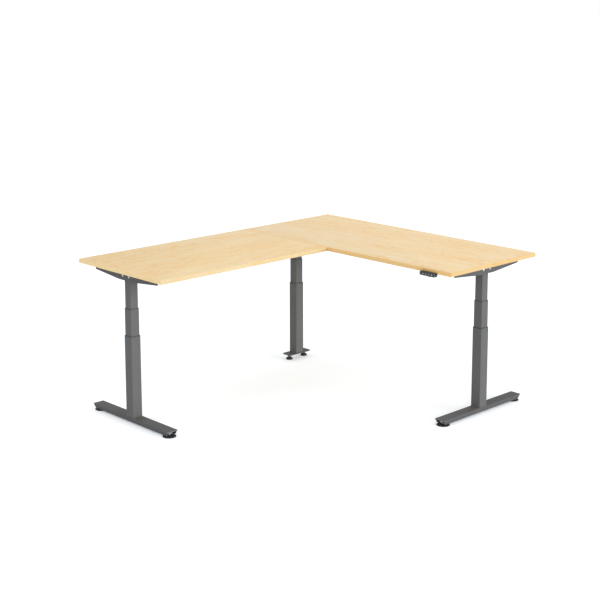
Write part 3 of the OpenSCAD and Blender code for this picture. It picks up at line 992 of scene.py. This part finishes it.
@dataclass
class Glide:
    """A levelling glide: a moulded foot with a steel nut and a threaded stem.

    The rim's rows are (inset, height), and the others' (radius, height), all in mm. The nut's
    heights start from the moulding's top, and a third number is the hexagon's share.
    """

    name: str
    kind: GlideKind
    stem_d: float = 10 * MM
    stem_sunk: float = 1 * MM
    pitch: float = 1.5 * MM
    rim_mm: tuple[Row, ...] = ((1.6, 0.0), (0.5, 0.35), (0.0, 1.3), (0.0, 3.0))
    dome_start: float = 1.2 * MM
    dome_run: float = 25.2 * MM
    dome_low_rise_mm: tuple[float, float] = (3.9, 5.1)
    dome_top_mm: tuple[Row, ...] = ((12.6, 9.4), (12.2, 10.0))
    cone_start: float = 0.9 * MM
    cone_neck: float = 13.2 * MM
    cone_low_rise_mm: tuple[float, float] = (4.2, 10.4)
    cone_top_mm: tuple[Row, ...] = ((11.6, 15.6), (10.6, 16.0))
    nut_mm: tuple[Row, ...] = ((8.2, 0.0), (8.5, 0.4, 1), (8.5, 5.0, 1), (8.1, 5.5))
    sides: int = 72

    def profile(self, radius: float) -> list[Row]:
        """The moulding's profile, from its floor face up to the flat under the nut.

        A dome's height is a parabola of the way in. A cone's side is a quarter of an ellipse.

        Args:
            radius: of the rim.

        Returns:
            Rows of (radius, height).
        """
        if self.kind is GlideKind.DOME:
            t = np.linspace(0.0, 1.0, 9)
            way_in = self.dome_start + self.dome_run * t
            (low, rise), way_up, top = self.dome_low_rise_mm, 1 - (1 - t) ** 2, self.dome_top_mm
        else:
            t = np.linspace(0.0, TAU / 4, 8)
            way_in = self.cone_start + (radius - self.cone_neck) * (1 - np.cos(t))
            (low, rise), way_up, top = self.cone_low_rise_mm, np.sin(t), self.cone_top_mm
        rim = [(radius - inset * MM, z * MM) for inset, z in self.rim_mm]
        side = zip(radius - way_in, (low + rise * way_up) * MM)
        return [*rim, *side, *((r * MM, z * MM) for r, z in top)]

    def build(self) -> None:
        """Make the moulding, the nut and the stem."""
        low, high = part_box(self.name)
        middle = (low + high) / 2
        place = Place((middle.x, middle.y, low.z))
        body = self.profile((high.x - low.x) / 2)
        top = body[-1][1]
        shell = Shell(f"{self.name}_moulding").add(turned(body, self.sides), GLIDE_PLASTIC, place)
        # The cone glides' nut and stem, under the corner plate, get the dark metal: painted shade for the
        # shade beneath the plate.
        metal = ZINC if self.kind is GlideKind.DOME else DARK_SCREW_AND_PAINTED_SHADE
        nut = [(r * MM, top + z * MM, *share) for r, z, *share in self.nut_mm]
        shell.add(turned(nut), metal, place)
        stem = thread(self.stem_d, self.pitch, top - self.stem_sunk, high.z - low.z)
        shell.add(stem, metal, place)
        shell.build(self.name, "glide_plastic", [self.name])


@dataclass
class FootLips:
    """The turned-down ends of a long foot's top."""

    column: str
    top: float = 39.9 * MM
    height: float = 6 * MM
    sheet: float = 2.2 * MM
    soft: float = 0.8 * MM
    inset: float = 2.5 * MM
    proud: float = 0.3 * MM

    def build(self) -> None:
        """Make the lip at each end of the foot."""
        low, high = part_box(f"{self.column}_foot")
        middle, size = (low + high) / 2, high - low
        along_x = size.x > size.y
        along = Vector((1, 0, 0)) if along_x else Vector((0, 1, 0))
        across = (0.0, 1.0, 0.0) if along_x else (1.0, 0.0, 0.0)
        lip = block(min(size.x, size.y) - 2 * self.inset, self.sheet, self.height, self.soft, self.soft)
        shell = Shell(f"{self.column}_foot_lips")
        for side in (-1, 1):
            end = middle + along * side * (size.dot(along) / 2 + self.proud - self.sheet / 2)
            # The lips' lighter coat is a painted highlight along the foot's ends.
            shell.add(lip, LIP_COAT_PAINTED_HIGHLIGHT, Place((end.x, end.y, self.top - self.height), across))
        shell.build(f"{self.column}_base", "frame_coat")


# ---------- handset ----------


@dataclass
class Handset:
    """The pill-shaped handset: a soft body with four pockets, and a button in each.

    The back's rows are (inset, height), and a button cap's (inset, way down from its top), all
    in mm. The arcs' half is an angle.
    """

    length: float = 124 * MM
    height: float = 27 * MM
    depth: float = 20 * MM
    drop: float = 19 * MM
    edge: float = 3.0 * MM
    back_mm: tuple[Row, ...] = ((0.8, 0.0), (0.2, 0.3), (0.0, 1.0))
    pitch: float = 22 * MM
    button_len: float = 13 * MM
    button_h: float = 9 * MM
    play: float = 0.3 * MM
    pocket: float = 3.3 * MM
    chamfer: float = 0.35 * MM
    root: float = 2.4 * MM
    proud: float = 0.9 * MM
    cap_mm: tuple[Row, ...] = ((0.0, 0.6), (0.15, 0.2), (0.5, 0.0), (1.1, 0.05), (2.2, 0.22), (3.4, 0.3))
    steps: int = 8
    belly: float = 1.4 * MM
    belly_half: float = 12 * MM
    belly_from: float = 7 * MM
    belly_fade: float = 6.5 * MM
    arc_inset: float = 2.2 * MM
    arc_size: Point = (0.6 * MM, 1.4 * MM, 0.25 * MM)
    arc_half: float = 1.0
    arc_steps: int = 17
    mark_t: float = 0.2 * MM
    mark_sunk: float = 0.35 * MM
    arrow_r: float = 2.6 * MM
    dot_r: float = 1.3 * MM
    dot_sides: int = 20
    bar_len: float = 6.6 * MM
    bar_w: float = 2.2 * MM
    tongue_corner: float = 3 * MM
    tongue_edge: float = 1.2 * MM
    tongue_taper: float = 0.4
    screw: Screw = Screw(8 * MM, 2.2 * MM, 4.6 * MM)
    screw_x: float = 16 * MM
    screw_y: float = 8 * MM
    buttons: tuple[str, ...] = ("button_down", "button_up", "button_memory_1", "button_memory_2")

    def face_place(self) -> Place:
        """The handset's frame.

        Returns:
            A frame on its back plane, with z out of its face and y up.
        """
        low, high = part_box("handset_body")
        return Place(
            ((low.x + high.x) / 2, low.y + self.depth, low.z + self.height / 2), (1, 0, 0), (0, -1, 0)
        )

    def rim(self, inset: float) -> Array:
        """The pill's outline at an inset, with points where the button cells meet it.

        From the lower right it goes round the right end, along the top from cell to cell, round
        the left end and back along the bottom. A half circle's point at share t of the turn is
        the centre plus radius times (cos, sin) of pi (t - 1/2).

        Args:
            inset: how far inside the full outline it runs.

        Returns:
            Points (columns, 2), anticlockwise.
        """
        b = self.height / 2 - inset
        half = 2 * self.pitch
        centre = self.length / 2 - self.height / 2
        t = np.linspace(-0.25, 0.25, 2 * self.steps - 1) * TAU
        end = np.column_stack([centre + b * np.cos(t), b * np.sin(t)])
        right = np.concatenate([[(half, -b)], end, [(half, b)]])
        top_x = np.linspace(half, -half, 4 * self.steps + 1)[1:-1]
        top = np.column_stack([top_x, np.full(top_x.shape, b)])
        return np.concatenate([right, top, -right, -top])

    def sag(self, points: Array) -> Array:
        """Raise the lower edge a little, except under the third button, where the body bulges.

        y gains belly times 1 less a bell curve of x about that button, times the share of the
        way down the lower edge.

        Args:
            points: (rows, columns, 3) in the handset's frame.

        Returns:
            The moved points.
        """
        x, y, z = points[..., 0], points[..., 1], points[..., 2]
        bulge = np.exp(-(((x - self.pitch / 2) / self.belly_half) ** 2))
        weight = np.clip((-y - self.belly_from) / self.belly_fade, 0, 1)
        return np.stack([x, y + self.belly * (1 - bulge) * weight, z], -1)

    def pocket_radius(self, angle: Array, half: float, radius: float) -> Array:
        """Distance from a slot's middle to its outline: the flat where it is met, else the end arc.

        Args:
            angle: directions from the middle.
            half: half the length of the flats.
            radius: of the end arcs.

        Returns:
            One distance for each direction.
        """
        c, s = np.abs(np.cos(angle)), np.abs(np.sin(angle)) + TINY
        flat = radius / s
        arc = half * c + np.sqrt(np.maximum(radius**2 - (half * s) ** 2, 0))
        return np.where(flat * c <= half, flat, arc)

    def cell(self) -> Array:
        """One cell of the face: from its rectangle in to the pocket, and down the pocket's wall.

        Each column is one direction from the middle, and the rows lie where it meets the
        rectangle, the chamfer's outer and inner edge, and the pocket's floor.

        Returns:
            Points (4, columns, 3).
        """
        a, b, n = self.pitch / 2, self.height / 2 - self.edge, self.steps
        up, over = np.linspace(-b, b, 2 * n + 1)[:-1], np.linspace(a, -a, n + 1)[:-1]
        side = np.column_stack([np.full(2 * n, a), up])
        top = np.column_stack([over, np.full(n, b)])
        square = np.concatenate([side, top, -side, -top])
        angle = np.arctan2(square[:, 1], square[:, 0])
        radius = self.button_h / 2 + self.play
        flat = (self.button_len - self.button_h) / 2
        way = np.column_stack([np.cos(angle), np.sin(angle)])
        wide, tight = (
            way * self.pocket_radius(angle, flat, radius + more)[:, None] for more in (self.chamfer, 0.0)
        )
        face = self.depth
        rings = np.stack([square, wide, tight, tight])
        return lift(rings, [face, face, face - self.chamfer, face - self.pocket])

    def ends(self) -> Array:
        """The face beyond the cells: straight rows from the end's outline in to the cell's side.

        Returns:
            Points (4, columns, 3).
        """
        b = self.height / 2 - self.edge
        outer = self.rim(self.edge)[: 2 * self.steps + 1]
        inner = np.column_stack([np.full(len(outer), 2 * self.pitch), np.linspace(-b, b, len(outer))])
        share = np.linspace(0, 1, 4)[:, None, None]
        return lift(outer * (1 - share) + inner * share, np.full(4, self.depth))

    def centre(self, index: int) -> float:
        """How far along the face a button's middle lies."""
        return (index - 1.5) * self.pitch

    def build(self) -> None:
        """Make the body, its tongue and arcs, then the buttons."""
        place = self.face_place()
        shell = Shell("handset_shell")
        t = np.linspace(0, TAU / 4, 6)
        back_in, back_up = np.array(self.back_mm).T * MM
        insets = np.concatenate([back_in, self.edge * (1 - np.cos(t))])
        heights = np.concatenate([back_up, self.depth - self.edge * (1 - np.sin(t))])
        side = lift(np.stack([self.rim(inset) for inset in insets]), heights)
        shell.add(self.sag(side), HANDSET_PLASTIC, place, cap=Cap.FIRST)
        for i in range(len(self.buttons)):
            cell = self.cell() + np.array([self.centre(i), 0, 0])
            shell.add(self.sag(cell), HANDSET_PLASTIC, place, cap=Cap.LAST)
        for flip in (1, -1):
            end = self.ends() * np.array([flip, flip, 1])
            shell.add(self.sag(end), HANDSET_PLASTIC, place, wrap=False, cap=Cap.NONE)
        shell.build("desktop", "handset_case", ["handset_body"], merge=True)
        self.tongue()
        self.arcs(place)
        for i, name in enumerate(self.buttons):
            self.button(name, i, place)

    def tongue(self) -> None:
        """The tongue that fixes the handset under the top, narrower at the back, with its two screws."""
        low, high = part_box("handset_body")
        width, run = self.length - 2 * self.height, high.y - low.y - self.depth / 2
        x, y = (low.x + high.x) / 2, low.y + self.depth / 2 + run / 2
        tongue = block(width, run, self.drop, self.tongue_corner, self.tongue_edge)
        tongue[..., 0] *= 1 - self.tongue_taper * (tongue[..., 1] / run + 0.5)
        shell = Shell("handset_tongue").add(tongue, HANDSET_PLASTIC, Place((x, y, low.z)))
        for side in (-1, 1):
            spot = facing_down(x + side * self.screw_x, y + self.screw_y, low.z)
            shell.add(self.screw.head(), DARK_SCREW_AND_PAINTED_SHADE, spot)
        shell.build("desktop", "handset_case")

    def arcs(self, place: Place) -> None:
        """The pale arcs that follow both ends of the face, half sunk into it.

        A small rounded section is carried round a circle: at angle a its point (u, v) stands at
        radius + v along (cos a, sin a), and u above the face.

        Args:
            place: the handset's frame.
        """
        section = outline(*self.arc_size, steps=2)[0]
        radius = self.height / 2 - self.edge - self.arc_inset + section[:, 1]
        shell = Shell("handset_arcs")
        swing = np.linspace(-self.arc_half, self.arc_half, self.arc_steps)[:, None]
        for side in (-1, 1):
            a = (0.5 if side < 0 else 0.0) * TAU + swing
            high = np.broadcast_to(section[:, 0], (self.arc_steps, len(section)))
            arc = np.stack([radius * np.cos(a), radius * np.sin(a), high], -1)
            spot = Place((side * (self.length - self.height) / 2, 0, self.depth))
            shell.add(arc, PALE_MARKS, spot, place)
        shell.build("desktop", "handset_case")

    def button(self, name: str, index: int, place: Place) -> None:
        """One button: a dished cap with its mark, riding on its own body.

        The cap's rows are pills, each inset and lowered from the cap's top by its own amount.

        Args:
            name: the button's CAD node and body.
            index: which button it is, from the left.
            place: the handset's frame.
        """
        spot = Place((self.centre(index), 0, self.depth - self.root))
        rise = self.root + self.proud
        inset, down = np.array(self.cap_mm).T * MM
        inset = np.concatenate([[0.0], inset])
        length, height = self.button_len - 2 * inset, self.button_h - 2 * inset
        pills = outline(length, height, self.button_h / 2 - inset, self.steps)
        cap = lift(pills, np.concatenate([[0.0], rise - down]))
        shell = Shell(f"{name}_cap").add(cap, BUTTON_RUBBER, spot, place)
        for grid in self.mark(index):
            shell.add(grid, PALE_MARKS, Place((0, 0, rise - self.mark_sunk)), spot, place)
        shell.build(name, "button_rubber", [name], merge=True)

    def mark(self, index: int) -> list[Array]:
        """A button's mark: an arrow down, an arrow up, one dot, or a round-ended cross.

        The cross's level bar is a fifth thicker, so that the bars' faces don't lie in one plane.

        Args:
            index: which button it is, from the left.

        Returns:
            The mark's surfaces, standing on z = 0.
        """
        if index < 2:
            turn = np.array([0.25, 0.5833, 0.9167]) * TAU * (1 if index else -1)
            corners = self.arrow_r * np.column_stack([np.cos(turn), np.sin(turn)])
            corners = corners if index else corners[::-1]
            return [lift(np.stack([corners] * 2), [0.0, self.mark_t])]
        if index == 2:
            return [turned([(self.dot_r, 0.0), (self.dot_r, self.mark_t)], self.dot_sides)]
        long, wide = self.bar_len, self.bar_w
        bars = ((long, wide, self.mark_t * 1.2), (wide, long, self.mark_t))
        return [lift(outline([w] * 2, [h] * 2, wide / 2), [0.0, top]) for w, h, top in bars]


# ---------- control box ----------


@dataclass
class ControlBox:
    """The control box: a soft-edged casing with fixing tabs and a bay of sockets.

    The sockets' rows are (place along the bay, width, height, pins), and their rim's rows
    (inset, height), with lengths in mm.
    """

    corner: float = 5 * MM
    edge: float = 2.2 * MM
    tab: float = 18 * MM
    tab_t: float = 3 * MM
    tab_edge: float = 0.6 * MM
    bay_len: float = 170 * MM
    bay_h: float = 18 * MM
    bay_depth: float = 12 * MM
    bay_corner: float = 2 * MM
    bay_lead: float = 1 * MM
    sockets_mm: tuple[tuple[float, float, float, int], ...] = (
        (-62, 24, 14, 3), (-29, 19, 9, 3), (-3, 19, 9, 3), (23, 19, 9, 3), (49, 12, 9, 4), (70, 12, 9, 4)
    )
    rim_mm: tuple[Row, ...] = ((0.0, -0.5), (0.0, 6.0), (1.2, 6.0), (1.4, 0.8))
    rim_corner: float = 1.6 * MM
    pin_size: Point = (0.9 * MM, 2.2 * MM, 4 * MM)
    pin_corner: float = 0.3 * MM
    pin_edge: float = 0.2 * MM
    pin_lift: float = 0.3 * MM
    ribs: int = 9
    rib_size: Point = (34 * MM, 1.8 * MM, 1.6 * MM)
    rib_edge: float = 0.4 * MM
    rib_pitch: float = 5 * MM
    rib_x: float = 56 * MM
    tab_screw: Screw = Screw(8.5 * MM, 2.6 * MM, 5 * MM)
    lid_screw: Screw = Screw(6 * MM, 1.2 * MM, 3.6 * MM)
    lid_screw_in: float = 10 * MM
    lid_screw_y: float = 38 * MM

    def build(self) -> None:
        """Make the casing and its bay, the sockets, and the tabs, screws and ribs."""
        low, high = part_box("control_box")
        width = high.x - low.x - 2 * self.tab
        depth, height = high.y - low.y, high.z - low.z
        middle = (low + high) / 2
        place = Place((middle.x, high.y, middle.z), (1, 0, 0), (0, -1, 0))
        z, inset = soft_ends(depth, self.edge)
        case = outline(width - 2 * inset, height - 2 * inset, self.corner - inset)
        lead = np.array([self.bay_lead, 0.0, 0.0])
        bay = outline(self.bay_len + lead, self.bay_h + lead, self.bay_corner)
        heights = np.concatenate([z, [depth, depth - self.bay_lead / 2, depth - self.bay_depth]])
        casing = lift(np.concatenate([case, bay]), heights)
        shell = Shell("control_box_case").add(casing, BOX_PLASTIC, place)
        for x, w, h, pins in self.sockets_mm:
            self.socket(shell, w, h, pins, Place((x * MM, 0, depth - self.bay_depth)), place)
        self.fixings(shell, middle.x, middle.y, low.z, high.z, width)
        shell.build("desktop", "box_case", ["control_box"], merge=True)

    def socket(
        self, shell: Shell, width: float, height: float, pins: int, spot: Place, place: Place
    ) -> None:
        """Add one socket, a rim with a row of pins inside.

        The pins' pitch is the width over their number plus 1.5.

        Args:
            shell: the casing's shell.
            width: the socket's width, in mm.
            height: its height, in mm.
            pins: how many pins it has.
            spot: its frame on the bay's floor.
            place: the casing's frame.
        """
        inset, z = np.array(self.rim_mm).T * MM
        rim = outline(width * MM - 2 * inset, height * MM - 2 * inset, self.rim_corner - inset / 2)
        shell.add(lift(rim, z), SOCKET_PLASTIC, spot, place)
        pin = block(*self.pin_size, self.pin_corner, self.pin_edge, steps=2)
        for k in range(pins):
            at = Place(((k - (pins - 1) / 2) * width / (pins + 1.5) * MM, 0, self.pin_lift))
            shell.add(pin, ZINC, at, spot, place)

    def fixings(self, shell: Shell, x: float, y: float, low: float, high: float, width: float) -> None:
        """Add the tabs, their screws, and the cooling ribs and cover screws below.

        Args:
            shell: the casing's shell.
            x: middle of the box along the desk.
            y: middle of the box across it.
            low: underside of the box.
            high: top of the box.
            width: length of the casing.
        """
        tab = block(2 * self.tab, self.tab, self.tab_t, self.tab / 2, self.tab_edge, steps=10)
        rib = block(*self.rib_size, self.rib_size[1] / 2, self.rib_edge, steps=4)
        tab_z = high - self.tab_t
        for side in (-1, 1):
            shell.add(tab, BOX_PLASTIC, Place((x + side * width / 2, y, tab_z)))
            spot = facing_down(x + side * (width / 2 + self.tab / 2), y, tab_z)
            shell.add(self.tab_screw.head(), DARK_SCREW_AND_PAINTED_SHADE, spot)
            for k in range(self.ribs):
                rib_y = y + (k - self.ribs // 2) * self.rib_pitch
                shell.add(rib, BOX_PLASTIC, Place((x + side * self.rib_x, rib_y, low - self.rib_size[2] / 2)))
            for end in (-1, 1):
                screw_x = x + side * (width / 2 - self.lid_screw_in)
                spot = facing_down(screw_x, y + end * self.lid_screw_y, low)
                shell.add(self.lid_screw.head(), DARK_SCREW_AND_PAINTED_SHADE, spot)


# ---------- the desk and the studio ----------


@dataclass
class Desk:
    """All the sub-assemblies, in the order they're made in."""

    parts: tuple = (
        Worktop("main_top", MAPLE_X, MAIN_LONG_BAND, MAIN_END_BAND_PAINTED_SHADE),
        Worktop("return_top", MAPLE_Y, RETURN_END_BAND, RETURN_LONG_BAND_PAINTED_SHADE),
        ArmHardware(),
        RailPair("main_rails", (1.0, 0.0, 0.0)),
        RailPair("return_rails", (0.0, 1.0, 0.0)),
        *(Gearmotor(column) for column in COLUMNS),
        *(Glide(f"right_glide_{end}", GlideKind.DOME) for end in ("front", "back")),
        *(Glide(f"corner_glide_{end}", GlideKind.CONE) for end in ("front", "back")),
        *(Glide(f"left_glide_{end}", GlideKind.DOME) for end in ("outer", "inner")),
        FootLips("right"),
        FootLips("left"),
        Handset(),
        ControlBox(),
    )

    def dress(self) -> None:
        """Give every CAD node the finish of its slot."""
        for part in frame["record"]["subparts"]:
            node = frame["nodes"][part["node"]]
            node.data.materials.clear()
            node.data.materials.append(SLOT_FINISH[part["material_slot"]].material())

    def build(self) -> None:
        """Dress the CAD nodes and make each sub-assembly in turn."""
        self.dress()
        for part in self.parts:
            part.build()


@dataclass(frozen=True)
class Lamp:
    """A distant soft lamp: its direction from the desk, its level and its width in degrees.

    The level is what it adds to a white surface that faces it.
    """

    name: str
    toward: Point
    level: float
    spread: float

    def build(self) -> None:
        """Make the lamp."""
        data = bpy.data.lights.new(self.name, "SUN")
        data.energy = self.level * math.pi
        data.angle = math.radians(self.spread)
        lamp = put(self.name, data)
        lamp.rotation_euler = Vector(self.toward).to_track_quat("Z", "Y").to_euler()


@dataclass
class Studio:
    """A pale floor, soft lamps, a white surround and the camera.

    The floor is floor_share paint, and a camera ray sees floor_glow of white light added to it.
    """

    floor_half: float = 60.0
    floor_paint: Rgb = (0.87, 0.92, 0.97)
    floor_share: float = 0.95
    floor_glow: float = 0.31
    surround: float = 0.855
    camera_at: Point = (5.5569, -5.3833, 2.6313)
    pitch: float = 10.3052
    yaw: float = 45.8944
    lens: float = 78.5617
    sensor: float = 36.0
    shift: tuple[float, float] = (-0.016667, -0.15)
    clip: tuple[float, float] = (0.1, 200.0)
    lamps: tuple[Lamp, ...] = (
        Lamp("key_lamp", (0.922, 0.336, 0.191), 0.6, 25.0),
        Lamp("fill_lamp", (0.801, -0.561, 0.208), 0.06, 25.0),
        Lamp("front_lamp", (0.0, -0.42, 0.91), 0.1, 40.0),
    )

    def seen(self, graph: Graph) -> Value:
        """A switch for what is only seen.

        Args:
            graph: the node tree that it is for.

        Returns:
            1 for rays from the camera, mirrors or clear pieces, else 0.
        """
        path = graph.node("ShaderNodeLightPath")
        rays = ("Is Camera Ray", "Is Glossy Ray", "Is Transmission Ray")
        camera, glossy, clear = (Value(graph, path.outputs[ray]) for ray in rays)
        return graph.math("MINIMUM", camera + glossy + clear, 1.0)

    def floor(self) -> None:
        """A wide floor that looks almost white and keeps the desk's shadow."""
        half, glow_share = self.floor_half, 1 - self.floor_share
        corners = [(-half, -half, 0), (half, -half, 0), (half, half, 0), (-half, half, 0)]
        mesh = bpy.data.meshes.new("floor")
        mesh.from_pydata(corners, [], [(0, 1, 2, 3)])
        material = bpy.data.materials.new("floor_paint")
        material.use_nodes = True
        graph = Graph(material.node_tree)
        paint = graph.node("ShaderNodeBsdfDiffuse", sockets={"Color": (*self.floor_paint, 1)})
        light = {"Color": (1, 1, 1, 1), "Strength": self.floor_glow / glow_share}
        glow = graph.node("ShaderNodeEmission", sockets=light)
        layers = {0: self.seen(graph) * glow_share, 1: paint.outputs[0], 2: glow.outputs[0]}
        mixed = graph.node("ShaderNodeMixShader", sockets=layers)
        graph.node("ShaderNodeOutputMaterial", sockets={"Surface": mixed.outputs[0]})
        mesh.materials.append(material)
        floor = put("floor", mesh)

    def world(self) -> None:
        """A plain white surround, full white where it is seen and dimmer as a lamp."""
        world = bpy.data.worlds.new("surround")
        world.use_nodes = True
        graph = Graph(world.node_tree)
        strength = self.seen(graph) * (1.0 - self.surround) + self.surround
        light = graph.node("ShaderNodeBackground", sockets={"Color": (1, 1, 1, 1), "Strength": strength})
        graph.node("ShaderNodeOutputWorld", sockets={"Surface": light.outputs[0]})
        bpy.context.scene.world = world

    def camera(self) -> None:
        """The camera on the open side of the L, looking down at its inner corner."""
        data = bpy.data.cameras.new("camera")
        data.lens, data.sensor_width = self.lens, self.sensor
        data.shift_x, data.shift_y = self.shift
        data.clip_start, data.clip_end = self.clip
        camera = put("camera", data)
        camera.location = self.camera_at
        camera.rotation_euler = (math.radians(90 - self.pitch), 0.0, math.radians(self.yaw))
        bpy.context.scene.camera = camera

    def build(self) -> None:
        """Set the stage round the desk."""
        bpy.context.scene.view_settings.view_transform = "Standard"
        self.floor()
        self.world()
        for lamp in self.lamps:
            lamp.build()
        self.camera()


def main() -> None:
    """Build the desk and the studio, and report each piece."""
    logging.basicConfig(level=logging.INFO, format="%(message)s")
    Desk().build()
    Studio().build()


if __name__ == "__main__":
    main()
